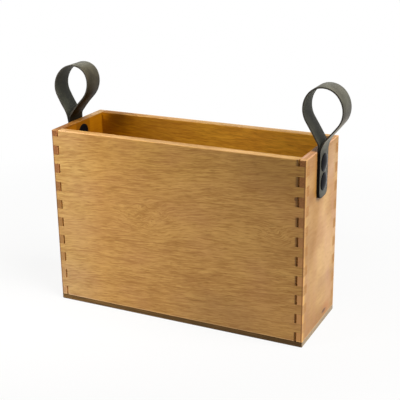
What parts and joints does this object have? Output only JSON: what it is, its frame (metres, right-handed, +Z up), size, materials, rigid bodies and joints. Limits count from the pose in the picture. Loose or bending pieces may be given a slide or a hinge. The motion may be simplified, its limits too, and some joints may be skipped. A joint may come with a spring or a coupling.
{
  "type": "magazine rack",
  "caption": "Narrow open-topped finger-jointed wooden box with a flexing strap loop at each end, for holding and carrying magazines.",
  "frame": {"origin": "centre of the underside of the base board, on the surface the rack stands on", "axes": "+X along the box to the right-hand end, +Y from the front board to the back board, +Z up"},
  "size_m": [0.4021, 0.12, 0.3181],
  "materials": {
    "box_wood": "oiled, satin, fine wavy grain along each board",
    "base_wood": "darker board, matt",
    "strap_leather": "olive-grey dyed leather, satin, dark cut edges",
    "black_steel": "black, semi-gloss"
  },
  "bodies": {
    "box": {"front_board": "box_wood", "back_board": "box_wood", "left_end_board": "box_wood", "right_end_board": "box_wood", "base_board": "base_wood", "left_strap_foot": "strap_leather", "right_strap_foot": "strap_leather", "left_upper_post": "black_steel", "left_lower_post": "black_steel", "right_upper_post": "black_steel", "right_lower_post": "black_steel", "left_upper_screw": "black_steel", "left_lower_screw": "black_steel", "right_upper_screw": "black_steel", "right_lower_screw": "black_steel"},
    "left_loop": {"left_strap_loop": "strap_leather"},
    "right_loop": {"right_strap_loop": "strap_leather"}
  },
  "joints": [
    {"name": "left_loop_flex", "type": "hinge", "parent": "box", "child": "left_loop", "pos_m": [-0.1768, 0, 0.2424], "axis": [0, -1, 0], "range_deg": [-47, 62], "stiffness_Nm_per_rad": 0.15},
    {"name": "right_loop_flex", "type": "hinge", "parent": "box", "child": "right_loop", "pos_m": [0.1768, -0.007, 0.2424], "axis": [0, 1, 0], "range_deg": [-55, 55], "stiffness_Nm_per_rad": 0.15}
  ]
}
